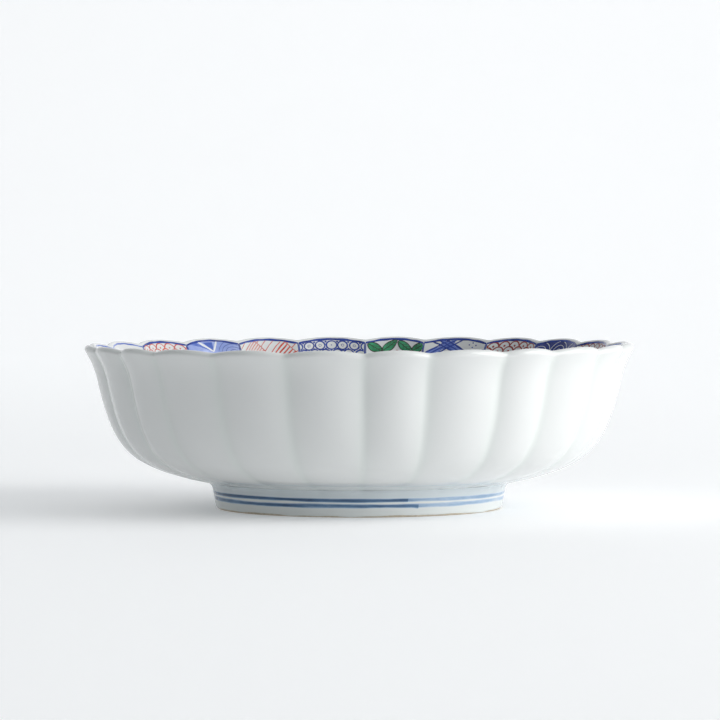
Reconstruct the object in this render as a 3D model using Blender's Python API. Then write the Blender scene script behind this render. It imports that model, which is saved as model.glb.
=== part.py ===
"""Porcelain serving bowl with a 24-petal fluted wall on a luted foot ring.

Metres, +Z up. The origin is the centre of the circle the foot stands on.
Three pieces: the fluted bowl body, the turned foot ring, and the slip that
joins them.
"""
import math

import bmesh
import bpy
from mathutils import Vector

MM = 0.001

# Petals
PETALS = 24
COLUMNS_PER_PETAL = 6
GROOVE_ROUND = 0.12          # share of half a petal that rounds off the groove
DEPTH_AT_FOOT = 1.0 * MM     # groove depth where the wall leaves the foot
DEPTH_GAIN = 1.4 * MM        # extra groove depth gained by the lip
LIP_DIP = 1.1 * MM           # how far the lip drops at each groove
# Hand-tooled wander of each groove from its even pitch, in degrees,
# counted anticlockwise from +X.
GROOVE_WANDER = (0.0, -0.5, -0.5, -1.0, -1.5, -0.5, -1.5, -0.5,
                 -0.5, -0.5, 0.0, 0.0, 0.0, 1.0, 0.5, -2.0,
                 -1.0, 0.0, 1.0, -0.5, 1.0, -1.0, 0.5, 0.0)

# Crest profile of the outside, from the foot to the lip (radius, height, slope)
HEIGHT = 53.7 * MM
FOOT_JOIN = (47.25 * MM, 8.16 * MM, math.radians(11.0))
BILGE = (71.36 * MM, 15.52 * MM, math.radians(29.6))
LIP_ROOT = (88.5 * MM, 52.3 * MM, math.radians(70.0))
JOIN_REACH = 11.6 * MM       # Bezier handle lengths
BILGE_REACH_IN = 7.6 * MM
BILGE_REACH_OUT = 14.7 * MM
LIP_REACH = 12.3 * MM
LIP_FLARE = 1.5 * MM         # outward turn of the last part of the wall
FLARE_START = 43.0 * MM

# Wall and floor
LIP_THICKNESS = 2.8 * MM
LIP_STEPS = 4                # facets round the half circle of the lip
FLOOR_THICKNESS = 4.3 * MM
FLOOR_RADIUS = 22.0 * MM     # flat middle of the floor
FLUTE_FADE_RADIUS = 32.0 * MM
SEAT_RADIUS = 41.0 * MM      # the grooves run out under the foot here

# Foot ring (radius, height), bottom face first, then up the outside
FOOT_BOTTOM_IN = 43.0 * MM
FOOT_BOTTOM_OUT = 46.4 * MM
FOOT_OUTSIDE = ((46.8 * MM, 0.6 * MM), (47.2 * MM, 2.2 * MM), (47.6 * MM, 4.6 * MM),
                (48.0 * MM, 6.3 * MM))
FOOT_TOP_IN = 41.3 * MM
FOOT_INSIDE = ((41.7 * MM, 3.2 * MM), (42.4 * MM, 0.7 * MM))
FOOT_COLUMNS = 96

# Slip joint
FIT_GAP = 0.3 * MM           # clearance between touching pieces
SLIP_THICKNESS = 0.5 * MM
SLIP_REACH_OUT = 2.0 * MM    # how far the outer fillet runs under the body
SLIP_REACH_IN = 1.2 * MM


def smoothstep(value):
    """Ease a value from 0 to 1."""
    value = min(max(value, 0.0), 1.0)
    return value * value * (3.0 - 2.0 * value)


def bezier(start, start_handle, end_handle, end, steps):
    """Points of a cubic Bezier without its first point."""
    points = []
    for step in range(1, steps + 1):
        t = step / steps
        s = 1.0 - t
        points.append(start * s ** 3 + start_handle * 3.0 * s * s * t
                      + end_handle * 3.0 * s * t * t + end * t ** 3)
    return points


def direction(angle):
    """Unit vector in the profile plane."""
    return Vector((math.cos(angle), math.sin(angle)))


def underside_height(radius):
    """Crest height of the body's underside: flat, then a parabola, then its tangent."""
    slope = math.tan(FOOT_JOIN[2])
    span = FOOT_JOIN[0] - FLOOR_RADIUS
    flat = FOOT_JOIN[1] - slope * span / 2.0
    if radius <= FLOOR_RADIUS:
        return flat
    if radius <= FOOT_JOIN[0]:
        return flat + slope * (radius - FLOOR_RADIUS) ** 2 / (2.0 * span)
    return FOOT_JOIN[1] + slope * (radius - FOOT_JOIN[0])


def wall_share(height):
    """0 at the foot join, 1 at the top of the wall."""
    return min(max((height - FOOT_JOIN[1]) / (HEIGHT - FOOT_JOIN[1]), 0.0), 1.0)


def outside_profile():
    """Crest points of the outside, from the flat underside to the root of the lip."""
    points = []
    for radius in (FLOOR_RADIUS, 32.0 * MM, SEAT_RADIUS, 44.2 * MM, FOOT_JOIN[0]):
        points.append(Vector((radius, underside_height(radius))))
    join = Vector(FOOT_JOIN[:2])
    bilge = Vector(BILGE[:2])
    lip = Vector(LIP_ROOT[:2])
    bilge_way = direction(BILGE[2])
    points += bezier(join, join + direction(FOOT_JOIN[2]) * JOIN_REACH,
                     bilge - bilge_way * BILGE_REACH_IN, bilge, 3)
    wall = bezier(bilge, bilge + bilge_way * BILGE_REACH_OUT,
                  lip - direction(LIP_ROOT[2]) * LIP_REACH, lip, 7)
    for point in wall:
        turn = max(0.0, (point.y - FLARE_START) / (LIP_ROOT[1] - FLARE_START))
        points.append(Vector((point.x + LIP_FLARE * turn * turn, point.y)))
    return points


def outside_depth(point):
    """Groove depth at a crest point of the outside."""
    fade = smoothstep((point.x - SEAT_RADIUS) / (FOOT_JOIN[0] - SEAT_RADIUS))
    return fade * (DEPTH_AT_FOOT + DEPTH_GAIN * wall_share(point.y))


def inside_profile(outside):
    """The outside pushed inwards by the wall thickness, from lip back to floor."""
    points = []
    last = len(outside) - 1
    for index, point in enumerate(outside):
        before = outside[max(index - 1, 0)]
        after = outside[min(index + 1, last)]
        way = (after - before).normalized()
        thin = (1.0 - wall_share(point.y)) ** 2
        thickness = LIP_THICKNESS + (FLOOR_THICKNESS - LIP_THICKNESS) * thin
        points.append(point + Vector((-way.y, way.x)) * thickness)
    points[0] = Vector((FLOOR_RADIUS, outside[0].y + FLOOR_THICKNESS))
    points[last] = Vector((outside[last].x - LIP_THICKNESS, outside[last].y))
    points.reverse()
    return points


def inside_depth(point):
    """Groove depth at a crest point of the inside; the flutes fade into the floor."""
    fade = smoothstep((point.x - FLUTE_FADE_RADIUS) / (BILGE[0] - FLUTE_FADE_RADIUS))
    return 0.9 * fade * (DEPTH_AT_FOOT + DEPTH_GAIN * wall_share(point.y))


def lip_profile(outer, inner):
    """The half round of the lip between the two walls."""
    middle = (outer + inner) / 2.0
    half = (outer - inner) / 2.0
    rise = Vector((-half.y, half.x))
    points = []
    for step in range(1, LIP_STEPS):
        angle = math.pi * step / LIP_STEPS
        points.append(middle + half * math.cos(angle) + rise * math.sin(angle))
    return points


def petal_columns():
    """Angle and fullness (0 groove, 1 crest) of every column round the bowl."""
    pitch = 2.0 * math.pi / PETALS
    columns = []
    for petal in range(PETALS):
        start = petal * pitch + math.radians(GROOVE_WANDER[petal])
        end = (petal + 1) * pitch + math.radians(GROOVE_WANDER[(petal + 1) % PETALS])
        for column in range(COLUMNS_PER_PETAL):
            share = column / COLUMNS_PER_PETAL
            columns.append((start + (end - start) * share, petal_fullness(share)))
    return columns


def petal_fullness(share):
    """Cross-section of one petal: a soft arch with a rounded groove at each side."""
    edge = 1.0 - abs(2.0 * share - 1.0)
    if edge < GROOVE_ROUND:
        return GROOVE_ROUND + (1.0 - GROOVE_ROUND) / GROOVE_ROUND * edge * edge
    return 2.0 * edge - edge * edge


def fluted_ring(point, depth, dip, columns):
    """One ring of the bowl at a crest point, cut back by the grooves."""
    ring = []
    for angle, fullness in columns:
        radius = point.x - depth * (1.0 - fullness)
        height = point.y - dip * (1.0 - fullness)
        ring.append(Vector((radius * math.cos(angle), radius * math.sin(angle), height)))
    return ring


def round_ring(radius, height, count):
    """One plain ring."""
    ring = []
    for column in range(count):
        angle = 2.0 * math.pi * column / count
        ring.append(Vector((radius * math.cos(angle), radius * math.sin(angle), height)))
    return ring


def lofted_piece(name, rings, closed, material):
    """Join rings into one closed body: a torus if closed, else capped at both ends."""
    mesh = bpy.data.meshes.new(name)
    work = bmesh.new()
    rows = [[work.verts.new(corner) for corner in ring] for ring in rings]
    pairs = list(zip(rows, rows[1:]))
    if closed:
        pairs.append((rows[-1], rows[0]))
    for lower, upper in pairs:
        count = len(lower)
        for column in range(count):
            beside = (column + 1) % count
            work.faces.new((lower[column], lower[beside], upper[beside], upper[column]))
    if not closed:
        work.faces.new(list(reversed(rows[0])))
        work.faces.new(rows[-1])
    bmesh.ops.recalc_face_normals(work, faces=work.faces)
    work.to_mesh(mesh)
    work.free()
    mesh.materials.append(material)
    piece = bpy.data.objects.new(name, mesh)
    bpy.context.scene.collection.objects.link(piece)
    shade(mesh)
    return piece


def shade(mesh):
    """Smooth the round surfaces and keep the flat rests and sharp rims crisp."""
    mesh.shade_smooth()
    mesh.set_sharp_from_angle(angle=math.radians(38.0))


def coat(name, colour, roughness):
    """A plain glazed or bare ceramic material."""
    material = bpy.data.materials.new(name)
    material.use_nodes = True
    shader = material.node_tree.nodes["Principled BSDF"]
    shader.inputs["Base Color"].default_value = (*colour, 1.0)
    shader.inputs["Roughness"].default_value = roughness
    shader.inputs["Metallic"].default_value = 0.0
    material.diffuse_color = (*colour, 1.0)
    return material


def make_bowl_body(columns):
    """The fluted shell with its floor, wall and rounded lip."""
    outside = outside_profile()
    inside = inside_profile(outside)
    lip = lip_profile(outside[-1], inside[0])
    rings = []
    for point in outside:
        rings.append(fluted_ring(point, outside_depth(point), lip_dip(point), columns))
    outer_depth = outside_depth(outside[-1])
    inner_depth = inside_depth(inside[0])
    for step, point in enumerate(lip, start=1):
        depth = outer_depth + (inner_depth - outer_depth) * step / (len(lip) + 1)
        rings.append(fluted_ring(point, depth, lip_dip(point), columns))
    for point in inside:
        rings.append(fluted_ring(point, inside_depth(point), lip_dip(point), columns))
    glaze = coat("clear_glaze_on_white", (0.80, 0.81, 0.80), 0.12)
    return lofted_piece("bowl_body", rings, False, glaze)


def lip_dip(point):
    """Drop of the wall at a groove, growing towards the lip."""
    share = max(0.0, (point.y - 40.0 * MM) / (HEIGHT - 40.0 * MM))
    return LIP_DIP * min(share, 1.0) ** 2


def foot_top(radius):
    """Height of the foot ring's sloped top, parallel to the body's underside."""
    return underside_height(radius) - SLIP_THICKNESS - 2.0 * FIT_GAP


def make_foot_ring():
    """The turned ring the bowl stands on."""
    corners = [(FOOT_BOTTOM_IN, 0.0), (FOOT_BOTTOM_OUT, 0.0)]
    corners += FOOT_OUTSIDE
    top_out = FOOT_OUTSIDE[-1][0]
    corners.append((top_out - 0.3 * MM, foot_top(top_out - 0.3 * MM)))
    corners.append((FOOT_TOP_IN + 0.3 * MM, foot_top(FOOT_TOP_IN + 0.3 * MM)))
    corners.append((FOOT_TOP_IN, foot_top(FOOT_TOP_IN) - 0.4 * MM))
    corners += FOOT_INSIDE
    rings = [round_ring(radius, height, FOOT_COLUMNS) for radius, height in corners]
    glaze = coat("glaze_on_foot", (0.72, 0.74, 0.74), 0.16)
    return lofted_piece("foot_ring", rings, True, glaze)


def make_luting_slip(columns):
    """The slip between ring and body, with a small hollow fillet on either side."""
    foot_out = FOOT_OUTSIDE[-1][0]
    below = []
    for radius in (FOOT_TOP_IN - 0.1 * MM, foot_out + 0.1 * MM):
        below.append(Vector((radius, foot_top(radius) + FIT_GAP)))
    above = []
    for radius in (foot_out + SLIP_REACH_OUT, FOOT_JOIN[0], 44.2 * MM,
                   FOOT_TOP_IN - SLIP_REACH_IN):
        above.append(Vector((radius, underside_height(radius) - FIT_GAP)))
    fillet_out = fillet(below[-1], above[0])
    fillet_in = fillet(above[-1], below[0])
    rings = []
    for point in below:
        rings.append(fluted_ring(point, 0.0, 0.0, columns))
    for point in fillet_out:
        rings.append(fluted_ring(point, outside_depth(above[0]) / 2.0, 0.0, columns))
    for point in above:
        rings.append(fluted_ring(point, outside_depth(point), 0.0, columns))
    for point in fillet_in:
        rings.append(fluted_ring(point, 0.0, 0.0, columns))
    glaze = coat("glaze_pooled_on_joint", (0.60, 0.66, 0.70), 0.12)
    return lofted_piece("luting_slip", rings, True, glaze)


def fillet(start, end):
    """One point that bows the straight run between two ends towards the corner."""
    middle = (start + end) / 2.0
    upper = max(start.y, end.y)
    inner = start.x if start.y < end.y else end.x
    corner = Vector((inner, upper))
    return [middle.lerp(corner, 0.35)]


def main():
    """Clear the scene and build every piece."""
    for item in list(bpy.data.objects):
        bpy.data.objects.remove(item, do_unlink=True)
    columns = petal_columns()
    make_bowl_body(columns)
    make_foot_ring()
    make_luting_slip(columns)


main()
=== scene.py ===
import math
import random

import bpy
import numpy as np
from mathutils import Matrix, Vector


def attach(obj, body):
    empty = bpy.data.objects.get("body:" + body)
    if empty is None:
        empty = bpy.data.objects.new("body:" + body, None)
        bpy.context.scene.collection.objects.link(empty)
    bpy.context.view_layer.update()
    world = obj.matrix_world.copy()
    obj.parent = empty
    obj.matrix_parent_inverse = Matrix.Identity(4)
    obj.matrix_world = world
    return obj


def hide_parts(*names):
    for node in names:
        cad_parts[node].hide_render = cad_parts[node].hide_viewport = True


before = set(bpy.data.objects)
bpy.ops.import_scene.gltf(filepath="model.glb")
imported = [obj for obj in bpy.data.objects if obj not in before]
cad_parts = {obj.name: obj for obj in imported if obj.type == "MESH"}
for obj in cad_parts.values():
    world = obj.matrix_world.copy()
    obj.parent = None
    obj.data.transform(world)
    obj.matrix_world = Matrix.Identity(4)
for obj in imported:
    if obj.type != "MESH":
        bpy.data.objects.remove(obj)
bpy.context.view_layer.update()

MM = 0.001
TURN = 2.0 * math.pi
RNG = random.Random(24)

# ---- bowl shape (mm)
PETALS = 24
PETAL_PITCH = 360.0 / PETALS  # degrees
HEIGHT = 53.7
GROOVE_ROUND = 0.12          # share of half a petal that rounds off the groove
DEPTH_AT_FOOT = 1.0          # groove depth where the wall leaves the foot
DEPTH_GAIN = 1.4             # extra depth gained by the lip
INSIDE_DEPTH = 0.9           # the same grooves inside, as a share
LIP_DIP = 1.1                # how far the lip drops at each groove
DIP_START = 40.0             # height where that drop begins
# hand-tooled wander of each groove from its even place, in degrees
GROOVE_WANDER = (0.0, -0.5, -0.5, -1.0, -1.5, -0.5, -1.5, -0.5,
                 -0.5, -0.5, 0.0, 0.0, 0.0, 1.0, 0.5, -2.0,
                 -1.0, 0.0, 1.0, -0.5, 1.0, -1.0, 0.5, 0.0)
# crest profile of the outside: radius, height, slope
FOOT_JOIN = (47.25, 8.16, math.radians(11.0))
BILGE = (71.36, 15.52, math.radians(29.6))
LIP_ROOT = (88.5, 52.3, math.radians(70.0))
JOIN_REACH = 11.6            # reach of each Bezier handle
BILGE_REACH_IN = 7.6
BILGE_REACH_OUT = 14.7
LIP_REACH = 12.3
LIP_FLARE = 1.5              # outward turn of the last part of the wall
FLARE_START = 43.0
WALL_END = 51.94             # crest height where the wall meets the round of the lip
LIP_THICKNESS = 2.8
FLOOR_THICKNESS = 4.3
FLOOR_RADIUS = 22.0
FLUTE_FADE_RADIUS = 32.0
SEAT_RADIUS = 41.0           # the grooves run out under the foot here
LIP_RADIUS = 90.0
KILN_TILT = 0.3              # lift of the right side of the lip, drop of the left

# column positions across one petal: crowded into the grooves
HALF_SHARES = (0.0, 0.02, 0.04, 0.065, 0.1, 0.14, 0.19, 0.25, 0.31, 0.37, 0.435)
SHARES = HALF_SHARES + (0.5,) + tuple(1.0 - s for s in reversed(HALF_SHARES[1:]))


def smoothstep(value):
    value = np.clip(value, 0.0, 1.0)
    return value * value * (3.0 - 2.0 * value)


def bezier(a, b, c, d, steps):
    t = np.linspace(0.0, 1.0, steps + 1)[1:, None]
    s = 1.0 - t
    a, b, c, d = (np.array(p, float) for p in (a, b, c, d))
    return a * s ** 3 + 3 * b * s * s * t + 3 * c * s * t * t + d * t ** 3


def direction(angle):
    return np.array([math.cos(angle), math.sin(angle)])


def around(count):
    """Evenly spaced angles of one turn."""
    return np.linspace(0.0, TURN, count, endpoint=False)


def distance_run(points):
    """Distance along a line of points, from 0 at its first."""
    return np.r_[0.0, np.cumsum(np.hypot(*np.diff(points, axis=0).T))]


def evenly(points, count):
    """Points spaced evenly along a line."""
    gone = distance_run(points)
    even = np.linspace(0.0, gone[-1], count)
    return np.stack([np.interp(even, gone, points[:, 0]), np.interp(even, gone, points[:, 1])], 1)


def on_circle(x, y, radius, angle):
    """Flat points at plan angles round a centre."""
    return np.stack([x + radius * np.cos(angle), y + radius * np.sin(angle)], 1)


def ring_row(radius, angle, height):
    """Points in metres round the bowl's axis, from radii and heights in mm."""
    return np.stack([radius * np.cos(angle), radius * np.sin(angle), height + 0 * radius], 1) * MM


def underside_height(radius):
    radius = np.asarray(radius, float)
    slope = math.tan(FOOT_JOIN[2])
    span = FOOT_JOIN[0] - FLOOR_RADIUS
    flat = FOOT_JOIN[1] - slope * span / 2.0
    bowed = flat + slope * (radius - FLOOR_RADIUS) ** 2 / (2.0 * span)
    beyond = FOOT_JOIN[1] + slope * (radius - FOOT_JOIN[0])
    return np.where(radius <= FLOOR_RADIUS, flat, np.where(radius <= FOOT_JOIN[0], bowed, beyond))


def wall_share(height):
    return np.clip((height - FOOT_JOIN[1]) / (HEIGHT - FOOT_JOIN[1]), 0.0, 1.0)


def outside_profile():
    """Crest points of the outside (radius, height), floor to lip root."""
    radii = np.linspace(FLOOR_RADIUS, FOOT_JOIN[0], 15)
    under = np.stack([radii, underside_height(radii)], 1)
    join = np.array(FOOT_JOIN[:2])
    bilge = np.array(BILGE[:2])
    lip = np.array(LIP_ROOT[:2])
    way = direction(BILGE[2])
    low = bezier(join, join + direction(FOOT_JOIN[2]) * JOIN_REACH,
                 bilge - way * BILGE_REACH_IN, bilge, 18)
    wall = bezier(bilge, bilge + way * BILGE_REACH_OUT,
                  lip - direction(LIP_ROOT[2]) * LIP_REACH, lip, 200)
    turn = np.clip((wall[:, 1] - FLARE_START) / (LIP_ROOT[1] - FLARE_START), 0.0, None)
    wall[:, 0] += LIP_FLARE * turn * turn
    wall = wall[wall[:, 1] <= WALL_END]
    return np.vstack([under, low, evenly(wall, 44)[1:]])


def inside_profile(outside):
    """The outside pushed in by the wall thickness, floor to lip."""
    way = np.gradient(outside, axis=0)
    way /= np.hypot(way[:, 0], way[:, 1])[:, None]
    thin = (1.0 - wall_share(outside[:, 1])) ** 2
    thickness = LIP_THICKNESS + (FLOOR_THICKNESS - LIP_THICKNESS) * thin
    points = outside + np.stack([-way[:, 1], way[:, 0]], 1) * thickness[:, None]
    points[0] = (FLOOR_RADIUS, outside[0, 1] + FLOOR_THICKNESS)
    return points


def lip_profile(outer, inner, steps):
    """The half round between the two walls, without its ends."""
    middle = (outer + inner) / 2.0
    half = (outer - inner) / 2.0
    rise = np.array([-half[1], half[0]])
    angle = np.linspace(0.0, math.pi, steps + 1)[1:-1, None]
    return middle + half * np.cos(angle) + rise * np.sin(angle)


def outside_depth(points):
    fade = smoothstep((points[:, 0] - SEAT_RADIUS) / (FOOT_JOIN[0] - SEAT_RADIUS))
    return fade * (DEPTH_AT_FOOT + DEPTH_GAIN * wall_share(points[:, 1]))


def inside_depth(points):
    fade = smoothstep((points[:, 0] - FLUTE_FADE_RADIUS) / (BILGE[0] - FLUTE_FADE_RADIUS))
    return INSIDE_DEPTH * fade * (DEPTH_AT_FOOT + DEPTH_GAIN * wall_share(points[:, 1]))


def fullness(share):
    edge = 1.0 - np.abs(2.0 * share - 1.0)
    groove = GROOVE_ROUND + (1.0 - GROOVE_ROUND) / GROOVE_ROUND * edge * edge
    return np.where(edge < GROOVE_ROUND, groove, 2.0 * edge - edge * edge)


def petal_angle(u):
    """Angle in radians of a place counted in petals anticlockwise from +X."""
    u = np.asarray(u, float)
    low = np.floor(u)
    wander = np.array(GROOVE_WANDER)
    a = low * PETAL_PITCH + wander[low.astype(int) % PETALS]
    b = (low + 1) * PETAL_PITCH + wander[(low.astype(int) + 1) % PETALS]
    return np.radians(a + (b - a) * (u - low))


PETAL_SWELL = [RNG.uniform(-0.10, 0.10) for _ in range(PETALS)]


def surface(u, radius, height, depth, dip):
    """Point on the fluted bowl, in metres. Small hand-made errors are added here."""
    u, radius, height, depth, dip = np.broadcast_arrays(u, radius, height, depth, dip)
    angle = petal_angle(u)
    full = fullness(u - np.floor(u))
    up = wall_share(height)
    swell = np.array(PETAL_SWELL)[np.floor(u).astype(int) % PETALS] * full * up
    wobble = 0.10 * np.sin(2.0 * angle + 0.7) + 0.07 * np.sin(3.0 * angle + 2.1)
    wobble = (wobble + 0.03 * np.sin(11.0 * angle + 0.21 * height)) * up
    r = radius - depth * (1.0 - full) + swell + wobble
    z = height - dip * (1.0 - full)
    x = r * np.cos(angle)
    z = z + KILN_TILT * (x / LIP_RADIUS) * np.clip(height / HEIGHT, 0.0, 1.0) ** 2
    return np.stack([x, r * np.sin(angle), z], -1) * MM


def lip_dip(height):
    return LIP_DIP * np.clip((height - DIP_START) / (HEIGHT - DIP_START), 0.0, 1.0) ** 2


OUTSIDE = outside_profile()
INSIDE = inside_profile(OUTSIDE)
LIP = lip_profile(OUTSIDE[-1], INSIDE[-1], 14)


# ---- mesh helpers
def add_to_scene(name, data):
    thing = bpy.data.objects.new(name, data)
    bpy.context.scene.collection.objects.link(thing)
    return thing


def piece_from(name, points, faces, material):
    mesh = bpy.data.meshes.new(name)
    mesh.from_pydata([tuple(p) for p in np.asarray(points, float)], [], faces)
    mesh.validate()
    mesh.materials.append(material)
    mesh.shade_smooth()
    return add_to_scene(name, mesh)


def grid_faces(rows, columns, wrap_columns=True, wrap_rows=False):
    """Quads of a grid whose points run row by row."""
    faces = []
    last_row = rows if wrap_rows else rows - 1
    last_column = columns if wrap_columns else columns - 1
    for row in range(last_row):
        here = row * columns
        there = ((row + 1) % rows) * columns
        for column in range(last_column):
            beside = (column + 1) % columns
            faces.append((here + column, here + beside, there + beside, there + column))
    return faces


def keep_piece(piece, slot, *nodes):
    """Puts a piece on the one rigid body and hides the CAD parts it stands in for."""
    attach(piece, "root")
    if nodes:
        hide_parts(*nodes)


def add_values(piece, name, values):
    """A number stored at each point, which the material reads."""
    layer = piece.data.attributes.new(name, "FLOAT", "POINT")
    layer.data.foreach_set("value", np.asarray(values, np.float32).ravel())


# ---- materials
class Graph:
    """Shortcuts for building one node tree."""

    def __init__(self, tree):
        self.nodes = tree.nodes
        self.links = tree.links

    def feed(self, node, inputs):
        """Sets a node's inputs by name, to sockets, numbers or colours."""
        for key, value in inputs.items():
            socket = node.inputs[key]
            if isinstance(value, bpy.types.NodeSocket):
                self.links.new(value, socket)
            elif socket.type == "RGBA":
                socket.default_value = (*value, 1.0)
            else:
                socket.default_value = value

    def add(self, kind, inputs=None, **settings):
        node = self.nodes.new("ShaderNode" + kind)
        for key, value in settings.items():
            setattr(node, key, value)
        self.feed(node, inputs or {})
        return node

    def noise(self, scale, detail=3.0, roughness=0.5, stretch=None):
        """Value of a noise in object space, metres; scale is in cells per metre."""
        vector = self.add("TexCoord").outputs["Object"]
        if stretch:
            mapping = self.add("Mapping", {"Vector": vector, "Scale": stretch})
            vector = mapping.outputs["Vector"]
        return self.add("TexNoise", {"Vector": vector, "Scale": scale, "Detail": detail,
                                     "Roughness": roughness}).outputs["Fac"]

    def ramp(self, source, *stops):
        """The colour a value picks from a row of (place, colour) stops."""
        node = self.add("ValToRGB", {"Fac": source})
        elements = node.color_ramp.elements
        for element, (place, _) in zip(elements, (stops[0], stops[-1])):
            element.position = place
        for place, _ in stops[1:-1]:
            elements.new(place)
        for element, (_, colour) in zip(elements, stops):
            element.color = (*colour, 1.0)
        return node.outputs["Color"]

    def map_range(self, source, span, values, **settings):
        """Maps a value from one span to another."""
        return self.add("MapRange", {"Value": source, "From Min": span[0], "From Max": span[1],
                                     "To Min": values[0], "To Max": values[1]},
                        **settings).outputs["Result"]

    def calculate(self, operation, *sources, **settings):
        node = self.add("Math", operation=operation, **settings)
        for index, source in enumerate(sources):
            self.feed(node, {index: source})
        return node.outputs["Value"]

    def mix(self, blend, factor, first, second):
        return self.add("Mix", {"Factor": factor, "A": first, "B": second},
                        data_type="RGBA", blend_type=blend).outputs["Result"]

    def stored(self, name):
        """The value stored at the mesh's points under a name."""
        return self.add("Attribute", attribute_name=name).outputs["Fac"]

    def bump(self, source, strength, distance):
        return self.add("Bump", {"Height": source, "Strength": strength,
                                 "Distance": distance}).outputs["Normal"]


def new_material(name):
    """A material with its node graph and its shader."""
    material = bpy.data.materials.new(name)
    material.use_nodes = True
    return material, Graph(material.node_tree), material.node_tree.nodes["Principled BSDF"]


SPECK_SCALE = 95.0           # cells per metre that may hold an iron speck
SPECK_CHANCE = 0.90          # cells whose random number is above this hold one


def glaze_material(name, thin, thick=None, roughness=0.10, peel=0.10):
    """Clear glaze over white clay: faint colour drift, pooled tint, peel, tiny specks."""
    material, graph, shader = new_material(name)
    drift = graph.noise(22.0, 4.0, 0.55)
    base = graph.ramp(drift, (0.3, thin), (0.75, tuple(c * 0.975 for c in thin)))
    if thick:
        base = graph.mix("MIX", graph.stored("pool"), base, thick)
    place = graph.add("TexCoord").outputs["Object"]
    specks = graph.add("TexVoronoi", {"Vector": place, "Scale": SPECK_SCALE})
    rare = graph.ramp(specks.outputs["Distance"], (0.0, (0.62, 0.60, 0.56)),
                      (0.035, (0.9, 0.9, 0.89)), (0.05, (1.0, 1.0, 1.0)))
    parts = graph.add("SeparateColor", {"Color": specks.outputs["Color"]})
    lottery = graph.calculate("GREATER_THAN", parts.outputs["Red"], SPECK_CHANCE)
    graph.feed(shader, {
        "Base Color": graph.mix("MULTIPLY", lottery, base, rare),
        "Roughness": graph.map_range(drift, (0.0, 1.0), (roughness * 0.75, roughness * 1.35)),
        "Normal": graph.bump(graph.noise(170.0, 2.0, 0.4), peel, 0.0004),
        "IOR": 1.5,
        "Specular IOR Level": 0.5})
    return material


def pigment_material(name, dark, light, scale, roughness):
    """Brushed pigment: it pools dark and drags pale along the stroke."""
    material, graph, shader = new_material(name)
    pooled = graph.noise(scale, 5.0, 0.6)
    graph.feed(shader, {
        "Base Color": graph.ramp(pooled, (0.3, dark), (0.7, light)),
        "Roughness": graph.map_range(pooled, (0.0, 1.0), (roughness * 0.8, roughness * 1.3)),
        "Normal": graph.bump(pooled, 0.15, 0.0001)})
    return material


def foot_cobalt_material():
    """Cobalt under glaze whose strength follows the brush load stored on the band."""
    material, graph, shader = new_material("foot_cobalt")
    grain = graph.noise(130.0, 5.0, 0.65, (1.0, 1.0, 6.0))
    amount = graph.calculate("MULTIPLY_ADD", grain, 0.7, graph.stored("ink"))
    shade = graph.calculate("SUBTRACT", amount, 0.35, use_clamp=True)
    graph.feed(shader, {
        "Base Color": graph.ramp(shade, (0.0, (0.70, 0.75, 0.79)), (0.35, (0.36, 0.49, 0.66)),
                                 (0.75, (0.085, 0.18, 0.33)), (1.0, (0.030, 0.068, 0.15))),
        "Roughness": 0.12})
    return material


WHITE_GLAZE = glaze_material("white_glaze", (0.75, 0.765, 0.76), (0.695, 0.757, 0.72))
FOOT_GLAZE = glaze_material("foot_glaze", (0.78, 0.80, 0.79), (0.62, 0.70, 0.69), 0.12, 0.16)
POOLED_GLAZE = glaze_material("pooled_glaze", (0.66, 0.72, 0.75), None, 0.08)
FOOT_COBALT = foot_cobalt_material()
POOL_LINE, BISCUIT, COBALT, COBALT_DEEP, COBALT_WASH, COBALT_MID, IRON_RED, RED_BROWN, GREEN, \
    DARK_LINE, YELLOW, RESERVE_WHITE = [pigment_material(*recipe) for recipe in (
        ("pool_line", (0.50, 0.58, 0.60), (0.67, 0.735, 0.735), 160.0, 0.09),
        ("bare_biscuit", (0.44, 0.38, 0.29), (0.62, 0.56, 0.47), 900.0, 0.85),
        ("cobalt_line", (0.010, 0.026, 0.20), (0.030, 0.075, 0.40), 260.0, 0.12),
        ("cobalt_deep", (0.020, 0.030, 0.17), (0.06, 0.09, 0.36), 200.0, 0.12),
        ("cobalt_wash", (0.22, 0.30, 0.66), (0.42, 0.50, 0.80), 180.0, 0.11),
        ("cobalt_mid", (0.05, 0.11, 0.46), (0.16, 0.24, 0.62), 220.0, 0.11),
        ("iron_red", (0.50, 0.028, 0.016), (0.70, 0.11, 0.065), 320.0, 0.30),
        ("red_brown", (0.24, 0.020, 0.016), (0.40, 0.055, 0.038), 320.0, 0.28),
        ("green_enamel", (0.010, 0.17, 0.06), (0.06, 0.42, 0.20), 260.0, 0.14),
        ("dark_line", (0.010, 0.014, 0.012), (0.05, 0.035, 0.03), 300.0, 0.25),
        ("yellow_enamel", (0.52, 0.30, 0.04), (0.80, 0.56, 0.14), 300.0, 0.16),
        ("reserve_white", (0.74, 0.76, 0.78), (0.82, 0.83, 0.84), 200.0, 0.10))]


# ---- bowl body
FLOOR_RINGS = (3.0, 8.0, 13.0, 18.0)


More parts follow.
